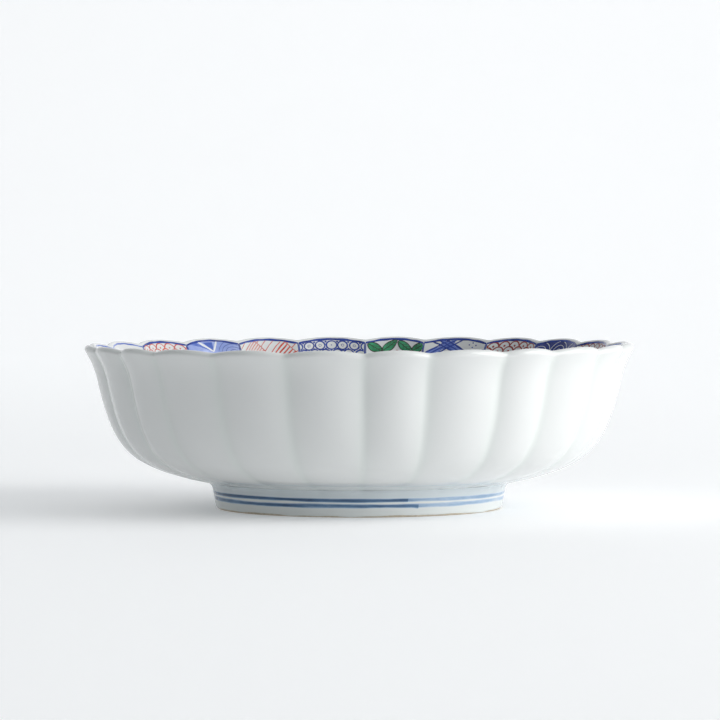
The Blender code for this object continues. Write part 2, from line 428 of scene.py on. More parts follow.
def make_bowl():
    """The glazed shell. Its pool values say how thick the glaze lies, 0 to 1."""
    us = np.array([p + s for p in range(PETALS) for s in SHARES])
    columns = len(us)
    rows = []
    pools = []
    out_depth = outside_depth(OUTSIDE)
    in_depth = inside_depth(INSIDE)
    groove = 1.0 - fullness(us - np.floor(us))

    def add(point, depth, extra=0.0):
        rows.append(surface(us, point[0], point[1], depth, lip_dip(point[1])))
        pools.append(np.clip(0.55 * groove ** 3 * min(depth, 1.0) + extra, 0.0, 1.0))

    for radius in FLOOR_RINGS:
        add((radius, OUTSIDE[0, 1]), 0.0, 0.25)
    for point, depth in zip(OUTSIDE, out_depth):
        near_foot = math.exp(-max(point[0] - 49.0, 0.0) / 4.0)
        add(point, depth, 0.45 * near_foot)
    for step, point in enumerate(LIP, start=1):
        share = step / (len(LIP) + 1)
        add(point, out_depth[-1] + (in_depth[-1] - out_depth[-1]) * share, -0.2)
    for point, depth in zip(INSIDE[::-1], in_depth[::-1]):
        add(point, depth, 0.10 if point[0] < 60.0 else 0.0)
    for radius in reversed(FLOOR_RINGS):
        add((radius, INSIDE[0, 1]), 0.0, 0.10)
    faces = grid_faces(len(rows), columns)
    faces.append(tuple(reversed(range(columns))))
    top = (len(rows) - 1) * columns
    faces.append(tuple(range(top, top + columns)))
    bowl = piece_from("fluted_bowl", np.concatenate(rows), faces, WHITE_GLAZE)
    add_values(bowl, "pool", np.concatenate(pools))
    keep_piece(bowl, "white_glaze", "bowl_body")


# ---- foot
FOOT_COLUMNS = 360
FOOT_TOP = 6.3               # top of the straight side of the foot
SKIN = 0.05                  # thickness of the glaze on the foot
FOOT_STEPS = 12              # rows up each side of it
GLAZE_LINE = 0.30            # height of the lower edge of the glaze on the foot


def ring_piece(name, profile, material, wave=None, pool=None):
    """A closed ring from a closed profile of (radius, height); wave raises a row's points."""
    columns = FOOT_COLUMNS
    angle = around(columns)
    rows = []
    for index, (radius, height) in enumerate(profile):
        rise = 0.0 if wave is None else wave(index, angle)
        rows.append(ring_row(np.full(columns, radius), angle, np.full(columns, height) + rise))
    faces = grid_faces(len(rows), columns, True, True)
    piece = piece_from(name, np.concatenate(rows), faces, material)
    if pool is not None:
        add_values(piece, "pool", np.repeat(pool, columns))
    return piece


def foot_outer_radius(height):
    return np.interp(height, (0.0, 0.6, 2.2, 4.6, FOOT_TOP), (46.4, 46.8, 47.2, 47.6, 48.0))


def foot_inner_radius(height):
    return np.interp(height, (0.0, 0.7, 3.2, 6.0), (43.0, 42.4, 41.7, 41.3))


def make_foot():
    def ragged(index, angle):
        """The lower edges of the glaze run unevenly."""
        if index not in (0, 1, len(glazed) - 1, len(glazed) - 2):
            return 0.0
        return (0.10 * np.sin(5 * angle + 1.0) + 0.08 * np.sin(13 * angle)
                + 0.05 * np.sin(29 * angle + 2))

    heights = np.linspace(GLAZE_LINE + 0.45, FOOT_TOP, FOOT_STEPS)
    outer = foot_outer_radius(GLAZE_LINE)
    inner = foot_inner_radius(GLAZE_LINE)
    glazed = [(outer - 0.25, GLAZE_LINE), (outer + 0.02, GLAZE_LINE + 0.12)]
    glazed += [(foot_outer_radius(h) + SKIN, h) for h in heights]
    glazed += [(47.6, 7.3), (45.0, 7.4), (42.0, 6.9)]
    glazed += [(foot_inner_radius(h) - SKIN, h) for h in heights[::-1]]
    glazed += [(inner - 0.02, GLAZE_LINE + 0.12), (inner + 0.25, GLAZE_LINE)]
    pool = [0.2, 0.3] + list(np.linspace(0.25, 0.0, FOOT_STEPS)) + [0.6, 0.6, 0.6]
    pool += list(np.linspace(0.5, 0.2, FOOT_STEPS)) + [0.3, 0.2]
    foot = ring_piece("glazed_foot", glazed, FOOT_GLAZE, ragged, pool)
    keep_piece(foot, "foot_glaze", "foot_ring")

    bare = [(43.05, 0.10), (43.25, 0.0), (46.15, 0.0), (46.38, 0.08), (46.62, 0.35),
            (foot_outer_radius(1.3), 1.3), (46.0, 1.6), (43.2, 1.6),
            (foot_inner_radius(1.3), 1.3), (42.65, 0.45)]
    rim = ring_piece("bare_foot_rim", bare, BISCUIT)
    keep_piece(rim, "bare_biscuit")


def make_pooled_joint():
    """The hollow fillet of slip and pooled glaze where the foot meets the fluted underside."""
    us = np.linspace(0.0, PETALS, 528, endpoint=False)
    full = fullness(us - np.floor(us))
    angle = petal_angle(us)
    reach = 1.0 + 0.12 * np.sin(7 * angle) + 0.10 * np.sin(17 * angle + 1.0)
    rows = []
    outer_top = 50.2             # where the fillet runs out under the bowl
    inner_top = 39.8             # and inside the foot
    seam_radius, seam_height = 48.10, 6.2

    def row(radius, height, cut):
        rows.append(ring_row(radius - cut * (1.0 - full), angle, height))

    row(47.9, 5.9, 0.0)
    row(48.06, 6.15, 0.0)
    for share in (0.2, 0.4, 0.6, 0.8, 1.0):
        r = seam_radius + (outer_top - seam_radius) * share ** 1.7 * reach
        top = float(underside_height(outer_top)) + 0.02
        row(r, seam_height + (top - seam_height) * share ** 0.75, share)
    row(49.0, float(underside_height(49.0)) + 0.4, 1.0)
    row(45.0, 8.0, 0.0)
    row(41.0, 7.4, 0.0)
    row(inner_top, float(underside_height(inner_top)) + 0.02, 0.0)
    row(40.9, 6.6, 0.0)
    row(41.26, 5.9, 0.0)
    row(42.0, 5.9, 0.0)
    faces = grid_faces(len(rows), len(us), True, True)
    joint = piece_from("pooled_glaze_joint", np.concatenate(rows), faces, POOLED_GLAZE)
    keep_piece(joint, "pooled_glaze", "luting_slip")


POOL_RADIUS = 58.9
POOL_SCALLOP = 2.4           # how far the line dips inward at a groove


def make_pool_line():
    """Blue-grey line of thick glaze where the flutes run out above the foot."""
    low_wall = OUTSIDE[:60]
    us = np.linspace(0.0, PETALS, 720, endpoint=False)
    full = fullness(us - np.floor(us))
    angle = petal_angle(us)
    middle = (POOL_RADIUS - POOL_SCALLOP * (1.0 - full) ** 2
              + 0.35 * np.sin(3 * angle + 1.0) + 0.2 * np.sin(11 * angle))
    half = 0.55 * (1.0 + 0.3 * np.sin(5 * angle + 0.5) + 0.25 * np.sin(13 * angle))
    rows = []
    for across, drop in ((-1.0, -0.02), (-0.4, 0.05), (0.4, 0.05), (1.0, -0.02)):
        radius = middle + across * half
        height = np.interp(radius, low_wall[:, 0], low_wall[:, 1])
        depth = np.interp(radius, low_wall[:, 0], outside_depth(low_wall))
        points = surface(us, radius, height, depth, 0.0)
        points[:, 2] -= drop * MM
        rows.append(points)
    faces = grid_faces(len(rows), len(us))
    line = piece_from("pooled_glaze_line", np.concatenate(rows), faces, POOL_LINE)
    keep_piece(line, "pooled_glaze")


# ---- painting: where it lies
def painted_profile():
    """Inside crest line from the top of the lip down to the floor, by distance run (mm)."""
    top = int(np.argmax(LIP[:, 1]))
    out_depth = outside_depth(OUTSIDE)[-1]
    in_depth = inside_depth(INSIDE)
    share = (np.arange(len(LIP)) + 1) / (len(LIP) + 1)
    lip_depth = out_depth + (in_depth[-1] - out_depth) * share
    line = np.vstack([LIP[top:], INSIDE[::-1]])
    depth = np.r_[lip_depth[top:], in_depth[::-1]]
    return distance_run(line), line[:, 0], line[:, 1], depth


RUN, RUN_R, RUN_Z, RUN_DEPTH = painted_profile()
RUN_TILT = np.unwrap(np.arctan2(np.gradient(RUN_Z, RUN), np.gradient(RUN_R, RUN)))
PANEL_TOP = 1.75             # distance from the top of the lip to the panel outline
PANEL_END = 60.0
PANEL_ROUND = 2.6            # how far the round lower end rises at 6 mm from its middle
SIDE_GAP = 0.20              # from the groove to the outline's middle


def petal_width(run):
    return TURN * np.interp(run, RUN, RUN_R) / PETALS


def on_petal(petal):
    """Maps (across, down) in mm on one petal to a point in metres, lifted off the glaze.

    Across runs to the right, as seen from the middle of the bowl.
    """
    def place(flat, lift):
        flat = np.asarray(flat, float)
        down = flat[..., 1]
        radius = np.interp(down, RUN, RUN_R)
        height = np.interp(down, RUN, RUN_Z)
        depth = np.interp(down, RUN, RUN_DEPTH)
        tilt = np.interp(down, RUN, RUN_TILT)
        share = np.clip(0.5 - flat[..., 0] / petal_width(down), 0.001, 0.999)
        point = surface(petal + share, radius, height, depth, lip_dip(height))
        angle = petal_angle(petal + share)
        out = np.sin(tilt)
        up = -np.cos(tilt)
        way = np.stack([out * np.cos(angle), out * np.sin(angle), up], -1)
        return point + way * (np.asarray(lift)[..., None] * MM)
    return place


def on_floor(flat, lift):
    """Maps plan position in mm on the floor inside to a point in metres."""
    flat = np.asarray(flat, float)
    radius = np.hypot(flat[..., 0], flat[..., 1])
    height = np.interp(radius, INSIDE[:, 0], INSIDE[:, 1])
    share = petal_angle_inverse(np.arctan2(flat[..., 1], flat[..., 0]))
    depth = np.interp(radius, INSIDE[:, 0], inside_depth(INSIDE))
    point = surface(share, radius, height, depth, 0.0)
    rise = np.asarray(lift) * MM + 0 * radius
    return point + np.stack([0 * radius, 0 * radius, rise], -1)


def petal_angle_inverse(angle):
    """The place, counted in petals, of a plan angle."""
    table = np.arange(-PETALS, 2 * PETALS + 1)
    spots = np.degrees(petal_angle(table))
    return np.interp(np.degrees(angle), spots, table) % PETALS


# ---- painting: how it is laid
EDGE = -0.02                 # a stroke's edges sink this far into the glaze, mm
BODY_SHARE = 0.6             # share of a dot that has the full body


def looks_inward(place, spot, facing):
    """Whether a face that faces this way looks into the wall at a flat spot."""
    low, high = place(np.array([spot, spot], float), np.array([0.0, 1.0]))
    return float(np.dot(facing, high - low)) < 0.0


class Coat:
    """One colour of painting: every stroke and wash of it, gathered into one mesh."""

    def __init__(self, name, material, slot, body):
        self.name = name
        self.material = material
        self.slot = slot
        self.body = body         # thickness of the dried colour, mm
        self.points = []
        self.faces = []
        self.count = 0

    def rows(self, place, rows, lifts):
        """Strip of quads: each row is an array of flat points with a lift each."""
        rows = np.asarray(rows, float)
        across = rows.shape[1]
        solid = place(rows, np.broadcast_to(lifts, rows.shape[:2]))
        facing = np.cross(solid[1, 0] - solid[0, 0], solid[0, -1] - solid[0, 0])
        turned = looks_inward(place, rows[0, 0], facing)
        start = self.count
        self.points.append(solid.reshape(-1, 3))
        self.count += rows.shape[0] * across
        for row in range(rows.shape[0] - 1):
            for column in range(across - 1):
                a = start + row * across + column
                face = (a, a + across, a + across + 1, a + 1)
                self.faces.append(face[::-1] if turned else face)

    def stroke(self, place, path, width, taper=0.5, wobble=0.05):
        """A brush line; it thins at both ends and wanders a little."""
        path = np.asarray(path, float)
        if len(path) < 2:
            return
        way = np.gradient(path, axis=0)
        way /= np.maximum(np.hypot(way[:, 0], way[:, 1]), 1e-9)[:, None]
        side = np.stack([-way[:, 1], way[:, 0]], 1)
        gone = distance_run(path)
        phase = RNG.uniform(0.0, 6.28)
        path = path + side * (wobble * np.sin(gone * 1.3 + phase))[:, None]
        wide = width * (1.0 + 0.14 * np.sin(gone * 0.9 + phase * 2.0))
        ends = np.minimum(gone, gone[-1] - gone) / (width * 1.2)
        wide = wide * (taper + (1.0 - taper) * np.clip(ends, 0.0, 1.0))
        half = side * (wide / 2.0)[:, None]
        rows = np.stack([path + half, path + half * 0.55, path - half * 0.55, path - half], 1)
        self.rows(place, rows, (EDGE, self.body, self.body, EDGE))

    def dot(self, place, x, y, radius, sides=8):
        angle = around(sides) + RNG.uniform(0.0, 0.7)
        squeeze = RNG.uniform(0.85, 1.1)
        rim = np.stack([x + radius * np.cos(angle), y + radius * squeeze * np.sin(angle)], 1)
        inner = np.array([x, y]) + (rim - (x, y)) * BODY_SHARE
        lifts = np.repeat([EDGE, self.body], sides)
        solid = place(np.vstack([rim, inner]), lifts)
        facing = np.cross(solid[sides + 1] - solid[sides], solid[sides + 2] - solid[sides])
        turned = looks_inward(place, (x, y), facing)
        low = self.count
        top = low + sides
        self.points.append(solid)
        self.count += 2 * sides
        faces = []
        for k in range(sides):
            beside = (k + 1) % sides
            faces.append((low + k, low + beside, top + beside, top + k))
        faces.append(tuple(range(top, top + sides)))
        self.faces.extend(face[::-1] if turned else face for face in faces)

    def wash(self, place, left, right, across=4, keep=None):
        """Colour laid between two edges given as matching paths."""
        left = np.asarray(left, float)
        right = np.asarray(right, float)
        t = np.linspace(0.0, 1.0, across + 1)[None, :, None]
        rows = left[:, None] * (1.0 - t) + right[:, None] * t
        lifts = np.full(across + 1, self.body)
        lifts[0] = lifts[-1] = -0.01
        if keep is None:
            self.rows(place, rows, lifts)
            return
        run = []
        for row in rows:
            if keep(*row.mean(0)):
                run.append(row)
                continue
            if len(run) > 1:
                self.rows(place, run, lifts)
            run = []
        if len(run) > 1:
            self.rows(place, run, lifts)

    def finish(self):
        piece = piece_from(self.name, np.concatenate(self.points), self.faces, self.material)
        keep_piece(piece, self.slot)


def sampled(path, step=0.5):
    """The same path with points no further apart than step."""
    path = np.asarray(path, float)
    return evenly(path, max(2, int(math.ceil(distance_run(path)[-1] / step)) + 1))


def arc(x, y, radius, start, end, step=0.45):
    """Arc in degrees; 270 is up the wall."""
    count = max(3, int(abs(end - start) / 360.0 * TURN * radius / step) + 1)
    return on_circle(x, y, radius, np.radians(np.linspace(start, end, count)))


def kept_runs(path, keep):
    """Stretches of a path for which keep(x, y) is true, cut at the boundary."""
    runs = []
    run = []
    was = None
    before = None
    for point in path:
        now = bool(keep(point[0], point[1]))
        if was is not None and now != was:
            low, high = (before, point) if was else (point, before)
            for _ in range(6):
                middle = (low + high) / 2.0
                if keep(middle[0], middle[1]):
                    low = middle
                else:
                    high = middle
            if was:
                run.append(low)
                runs.append(run)
                run = []
            else:
                run = [low]
        if now:
            run.append(point)
        was = now
        before = point
    if run:
        runs.append(run)
    return [np.array(r) for r in runs if len(r) > 1]


class Panel:
    """The painted field of one petal, in mm: x across from its middle, y down from the lip."""

    def __init__(self, petal):
        self.place = on_petal(petal)

    def half(self, y):
        return float(petal_width(y)) / 2.0 - SIDE_GAP

    def top(self, x):
        return PANEL_TOP + 0.5 * (x / 11.0) ** 2

    def bottom(self, x):
        return PANEL_END - PANEL_ROUND * (x / 6.0) ** 2

    def holds(self, x, y, margin=0.30):
        if y < self.top(x) + margin or y > self.bottom(x) - margin:
            return False
        return abs(x) < self.half(y) - margin

    def draw(self, coat, path, width, keep=None, **options):
        inside = self.holds if keep is None else (lambda x, y: self.holds(x, y) and keep(x, y))
        for run in kept_runs(sampled(path), inside):
            coat.stroke(self.place, run, width, **options)

    def spot(self, coat, x, y, radius, margin=None):
        if self.holds(x, y, radius * 0.9 if margin is None else margin):
            coat.dot(self.place, x, y, radius)

    def outline(self, coat, width):
        """Outline in four pulls of the brush; neighbours share the line along the groove."""
        end = self.bottom(self.half(PANEL_END - 3.0))
        ys = np.linspace(self.top(self.half(2.0)), end, 60)
        for side in (-1.0, 1.0):
            wall = np.array([(side * self.half(y), y) for y in ys])
            coat.stroke(self.place, wall, width * 0.5, taper=0.8, wobble=0.02)
        xs = np.linspace(-self.half(2.0), self.half(2.0), 60)
        top = np.array([(x, self.top(x)) for x in xs])
        coat.stroke(self.place, top, width * 1.25, taper=0.8)
        low = self.half(end)
        xs = np.linspace(-low, low, 24)
        coat.stroke(self.place, np.array([(x, self.bottom(x)) for x in xs]), width * 0.9, taper=0.8)

    def ground(self, coat, inset=0.15):
        """A wash over the whole field."""
        rows = []
        for t in np.linspace(0.0, 1.0, 90):
            row = []
            for s in np.linspace(-1.0, 1.0, 21):
                y = PANEL_TOP + (PANEL_END - PANEL_TOP) * t
                for _ in range(3):
                    x = s * (self.half(y) - inset)
                    top = self.top(x) + inset
                    y = top + (self.bottom(x) - self.top(x) - 2 * inset) * t
                row.append((x, y))
            rows.append(row)
        coat.rows(self.place, rows, coat.body)


# ---- painting: motifs
def row_count(rise):
    """Rows of a motif that fill the height of a panel."""
    return int((PANEL_END - PANEL_TOP) / rise)


def motif_scales(panel, line, pitch, width, dot, rings=(1.0,), first=0.6):
    """Rows of overlapping scales, each row lapping the one above."""
    size = pitch / 2.0
    step = size * 0.98
    for row in range(row_count(step) + 2):
        cy = PANEL_TOP + first + size + row * step
        shift = size if row % 2 else 0.0
        for column in range(-5, 6):
            cx = column * pitch + shift
            crest = min(max(cy - size, PANEL_TOP + 1.5), PANEL_END - 1.0)
            if not panel.holds(cx, crest, -size):
                continue
            laps = [(cx - size, cy + step), (cx + size, cy + step), (cx, cy + 2 * step)]

            def clear(x, y, laps=laps):
                return all((x - a) ** 2 + (y - b) ** 2 > (size * 0.98) ** 2 for a, b in laps)

            for ring in rings:
                lap = arc(cx, cy, size * ring, 180.0, 360.0)
                panel.draw(line, lap, width, clear, wobble=0.02)
            if dot:
                panel.spot(line, cx, cy - size * 0.18, dot)


def motif_cells(panel, line, pitch=3.8):
    """Round cells packed like a honeycomb in a thick blue net, each with a dot or a small ring."""
    rise = pitch * 0.866
    for row in range(row_count(rise) + 2):
        cy = PANEL_TOP + 2.35 + row * rise
        shift = pitch / 2.0 if row % 2 else 0.0
        for column in range(-4, 5):
            cx = column * pitch + shift + RNG.uniform(-0.12, 0.12)
            if not panel.holds(cx, cy, -pitch / 2.0):
                continue
            size = pitch * RNG.uniform(0.42, 0.45)
            panel.draw(line, arc(cx, cy, size, 0.0, 360.0), 0.58, wobble=0.05, taper=0.9)
            for side in (-1.0, 1.0):
                panel.spot(line, cx + pitch / 2.0, cy + side * pitch * 0.36, 0.42, 0.2)
            if (row + column) % 3:
                panel.draw(line, arc(cx, cy, size * 0.30, 0.0, 360.0, 0.3), 0.16, wobble=0.0)
            else:
                panel.spot(line, cx, cy, 0.24)


def motif_hatch(panel, line, base=11.0, height=6.4):
    """Zigzag of triangles, ruled on the slant with fine and bold lines in turn."""
    for row in range(row_count(height) + 2):
        top = PANEL_TOP - 0.4 + row * height
        low = top + height
        for column in range(-2, 3):
            x0 = -10.6 + column * base + (base / 2.0 if row % 2 else 0.0)
            peak = x0 + base / 2.0
            panel.draw(line, [(x0, low), (peak, top)], 0.34)
            panel.draw(line, [(peak, top), (x0 + base, low)], 0.34)
            bold = column % 2
            count = 7 if bold else 9
            width = 0.58 if bold else 0.32
            for k in range(1, count):
                share = k / count
                side = (peak + base / 2.0 * share, top + height * share)
                panel.draw(line, [(x0 + base * share, low), side], width, wobble=0.04)
            for k in range(1, 4):
                share = k / 4.0
                side = (peak + base / 2.0 * share, top + height * share)
                panel.draw(line, [side, (peak + base * share, top)], 0.30, wobble=0.04)


def leaf(panel, green, edge, x, y, length, wide, angle):
    """A pointed leaf from its stem end, with outline, midrib and a few veins."""
    way = direction(angle)
    side = np.array([-way[1], way[0]])
    t = np.linspace(0.0, 1.0, int(length / 0.45) + 2)
    swell = wide / 2.0 * np.sin(math.pi * t ** 0.85) ** 0.8
    bow = 0.25 * np.sin(math.pi * t)
    middle = np.array([x, y]) + way * (t * length)[:, None] + side * bow[:, None]
    left = middle + side * swell[:, None]
    right = middle - side * swell[:, None]
    green.wash(panel.place, left[1:-1], right[1:-1], 4, lambda a, b: panel.holds(a, b, 0.1))
    for line in (left, right, middle):
        panel.draw(edge, line, 0.34, wobble=0.0)
    for k in (0.3, 0.5, 0.7):
        spot = np.array([x, y]) + way * (k * length)
        for turn in (0.6, -0.6):
            tip = spot + direction(angle + turn) * wide * 0.55
            panel.draw(edge, [spot, tip], 0.18, wobble=0.0)


def motif_leaves(panel, green, edge, accent):
    """Zigzag garlands of leaves, with a small curled tendril under each peak."""
    rise = 7.2
    for row in range(row_count(rise) + 1):
        y0 = PANEL_TOP + 0.8 + row * rise
        x = -10.4 - (2.9 if row % 2 else 0.0)
        down = True
        while x < panel.half(min(y0 + 2.0, PANEL_END - 3.0)):
            if down:
                leaf(panel, green, edge, x, y0 + 0.1, 7.4, 3.3, math.radians(33.0))
            else:
                leaf(panel, green, edge, x - 0.2, y0 + 3.9, 7.2, 3.2, math.radians(-38.0))
                cx = x + 5.6
                panel.draw(accent, arc(cx, y0 + 4.3, 0.75, 150.0, 420.0, 0.3), 0.24, wobble=0.0)
                panel.spot(accent, cx, y0 + 4.2, 0.26)
            x += 5.7
            down = not down


def motif_bands(panel, line, wash):
    """Ribbons of three lines crossing on the slant, with dots in the open diamonds."""
    slope = 0.60
    pitch = 11.0
    reach = 14.0
    middle = -3.3
    for k in range(-2, 9):
        y0 = PANEL_TOP + 2.1 + k * pitch
        for sign in (1.0, -1.0):
            def ribbon_line(offset, rise=sign * reach * slope, y0=y0):
                return sampled([(middle - reach, y0 + offset - rise),
                                (middle + reach, y0 + offset + rise)])

            wash.wash(panel.place, ribbon_line(-1.4), ribbon_line(1.4), 3,
                      lambda x, y: panel.holds(x, y, 0.5))
            for offset in (-1.4, 0.0, 1.4):
                panel.draw(line, ribbon_line(offset), 0.70, wobble=0.05)
        diamond = pitch / slope / 2.0
        for cx, cy in ((middle - diamond, y0), (middle + diamond, y0),
                       (middle, y0 + pitch / 2.0)):
            for dx, dy in ((-1.3, 0.0), (1.3, 0.0), (0.0, -0.9), (0.0, 0.9)):
                panel.spot(line, cx + dx, cy + dy, 0.34)


def motif_fans(panel, line, mid, white):
    """Pairs of white bands that meet at a foot, with blue wedges and fine arcs beside."""
    rise = 7.5
    tall = 5.6
    for row in range(row_count(rise) + 1):
        low = PANEL_TOP + 4.3 + row * rise
        for cx in ((-9.5, 11.5) if row % 2 else (1.0, 22.0)):
            for start, end in ((-17.0, -9.1), (-7.2, 1.9)):
                share = np.linspace(0.0, 0.9, 14)
                height = low - tall * (1.0 - share)
                left, right = (np.stack([cx + side * (1.0 - share), height], 1)
                               for side in (start, end))
                mid.wash(panel.place, left, right, 5, lambda a, b: panel.holds(a, b, 0.3))
            for slant in (-8.2, 2.9):
                panel.draw(white, [(cx + slant, low - tall), (cx, low)], 1.1, wobble=0.0)
            for ring in (2.4, 3.6, 4.8, 6.0):
                panel.draw(line, arc(cx + 8.0, low + 1.4, ring, 195.0, 345.0), 0.22)


def motif_lappets(panel, white):
    """Fine white arcs reserved on the dark ground."""
    motif_scales(panel, white, 9.0, 0.30, 0.0, (1.0, 0.66, 0.34), 0.2)


def motif_scroll(panel, line, bud):
    """A wandering stem with curled shoots and small buds on white."""
    ys = np.linspace(PANEL_TOP + 4.0, PANEL_END - 3.0, 80)
    wide = np.array([panel.half(y) for y in ys]) * 0.42
    swing = TURN / 15.0
    stem = np.stack([wide * np.sin((ys - PANEL_TOP) * swing), ys], 1)
    panel.draw(line, stem, 0.42)
    for k in range(8):
        y = PANEL_TOP + 6.5 + k * 7.0
        side = 1.0 if k % 2 else -1.0
        half = panel.half(min(y, PANEL_END - 4.0))
        size = 2.5 * half / 10.5
        x = side * half * 0.42
        turn = np.linspace(0.0, TURN * 1.35, 26)
        radius = size * (1.0 - turn / 10.5)
        curl = np.stack([x + side * radius * np.cos(turn), y - radius * np.sin(turn)], 1)
        panel.draw(line, curl, 0.34, wobble=0.0)
        panel.spot(bud, x, y, 0.55)
        for along in (0.9, 2.0, 3.1, 4.2):
            reach = size * 1.25
            panel.spot(line, x + side * reach * math.cos(along), y - reach * math.sin(along), 0.32)


def blossom(place, petal_coat, edge, heart, x, y, size, turn, keep=None):
    """A five-petalled blossom seen from the front."""
    for k in range(5):
        angle = turn + k * TURN / 5.0
        cx = x + 0.58 * size * math.cos(angle)
        cy = y + 0.58 * size * math.sin(angle)
        if keep and not keep(cx, cy):
            continue
        rim = on_circle(cx, cy, 0.42 * size, np.linspace(0.0, TURN, 18))
        petal_coat.wash(place, rim[:10], rim[::-1][:10], 3)
        edge.stroke(place, sampled(rim, 0.35), 0.20, wobble=0.0)
        for spread in (-0.3, 0.0, 0.3):
            tip = on_circle(x, y, 0.62 * size, np.array([angle + spread]))[0]
            edge.stroke(place, sampled([(x, y), tip], 0.4), 0.13, wobble=0.0)
    heart.dot(place, x, y, 0.20 * size, 10)


def motif_blossoms(panel, red, edge, heart, green):
    """Scattered blossoms and leaves on white."""
    for k in range(7):
        y = PANEL_TOP + 7.0 + k * 8.0
        if y > PANEL_END - 4.0:
            break
        half = panel.half(y)
        x = (0.34 if k % 2 else -0.34) * half
        size = 2.9 * half / 10.0
        length = 3.6 * half / 10.0
        low_turn, high_turn = (0.6, -0.5) if k % 2 else (2.5, 3.6)
        leaf(panel, green, edge, x * -0.7, y + 2.6, length, 1.5, low_turn)
        leaf(panel, green, edge, x * -1.2, y - 2.2, length, 1.5, high_turn)
        blossom(panel.place, red, edge, heart, x, y, size, 0.3 + k, panel.holds)


def paint_inside():
    coats = [Coat(*recipe) for recipe in (
        ("cobalt_lines", COBALT, "cobalt_blue", 0.05),
        ("cobalt_outlines", COBALT, "cobalt_blue", 0.075),
        ("cobalt_pale_wash", COBALT_WASH, "cobalt_blue", 0.03),
        ("cobalt_mid_wash", COBALT_MID, "cobalt_blue", 0.042),
        ("cobalt_dark_ground", COBALT_DEEP, "cobalt_blue", 0.03),
        ("reserved_white_lines", RESERVE_WHITE, "white_glaze", 0.06),
        ("iron_red_lines", IRON_RED, "iron_red", 0.07),
        ("red_brown_lines", RED_BROWN, "iron_red", 0.07),
        ("green_leaves", GREEN, "green_enamel", 0.09),
        ("dark_leaf_lines", DARK_LINE, "dark_line", 0.13),
        ("yellow_hearts", YELLOW, "yellow_enamel", 0.16),
        ("red_blossoms", IRON_RED, "iron_red", 0.08))]
    cobalt, deep, pale, mid, dark, white, red, brown, green, edge, yellow, petals_red = coats

    # ground wash, motif and its colours for each petal, from the right round the back to
    # the left, then again round the front
    blossoms = (None, motif_blossoms, petals_red, edge, yellow, green)
    order = (
        blossoms,
        (None, motif_scales, brown, 3.3, 0.42, 0.26),
        (dark, motif_lappets, white),
        (None, motif_scales, brown, 4.2, 0.60, 0.50),
        (None, motif_bands, cobalt, mid),
        (None, motif_leaves, green, edge, brown),
        (None, motif_cells, deep),
        (None, motif_hatch, red),
        (pale, motif_fans, cobalt, mid, white),
        (None, motif_scales, red, 4.2, 0.46, 0.34),
        (None, motif_scroll, cobalt, yellow),
        blossoms)
    dry_brush = (0, 10, 11)      # petals outlined in a thin, pale pull of the brush
    for petal in range(PETALS):
        panel = Panel(petal)
        ground, motif, *colours = order[petal % len(order)]
        if ground is not None:
            panel.ground(ground)
        motif(panel, *colours)
        if petal in dry_brush:
            panel.outline(mid, 0.6)
        else:
            panel.outline(deep, 0.84)
    paint_floor(deep, cobalt, green, edge, petals_red, yellow)
    for coat in coats:
        coat.finish()


def paint_floor(deep, cobalt, green, edge, red, yellow):
    """Rings round the floor and a blossom in the middle."""
    def ring(radius, width, coat):
        angle = np.linspace(0.0, TURN, int(radius * 8))
        coat.stroke(on_floor, on_circle(0.0, 0.0, radius, angle), width, taper=0.9)

    inner = float(np.interp(PANEL_END, RUN, RUN_R)) - 1.6
    ring(inner, 0.9, deep)
    ring(inner - 1.6, 0.35, cobalt)
    ring(20.0, 0.35, cobalt)
    ring(21.4, 0.8, deep)

    class Whole:
        place = staticmethod(on_floor)

        def holds(self, x, y, margin=0.0):
            return True

        def draw(self, coat, path, width, keep=None, **options):
            coat.stroke(on_floor, sampled(path), width, **options)

    whole = Whole()
    for k in range(5):
        angle = k * TURN / 5.0 + 0.95
        stem = 7.6 * direction(angle)
        leaf(whole, green, edge, stem[0], stem[1], 9.0, 4.0, angle)
    blossom(on_floor, red, edge, yellow, 0.0, 0.0, 8.6, 0.32)
    band = (inner - 1.6 + 21.4) / 2.0
    for k in range(16):
        angle = k * TURN / 16.0
        cx, cy = band * math.cos(angle), band * math.sin(angle)
        turn = np.linspace(0.0, TURN * 1.2, 24)
        size = 2.6 * (1.0 - turn / 9.5)
        curl = on_circle(cx, cy, size, turn + angle)
        cobalt.stroke(on_floor, curl, 0.40, wobble=0.0)
        cobalt.dot(on_floor, cx, cy, 0.5)
        mid = angle + math.pi / 16.0
        for shift in (-2.2, 0.0, 2.2):
            spot = (band + shift) * direction(mid)
            deep.dot(on_floor, spot[0], spot[1], 0.5)


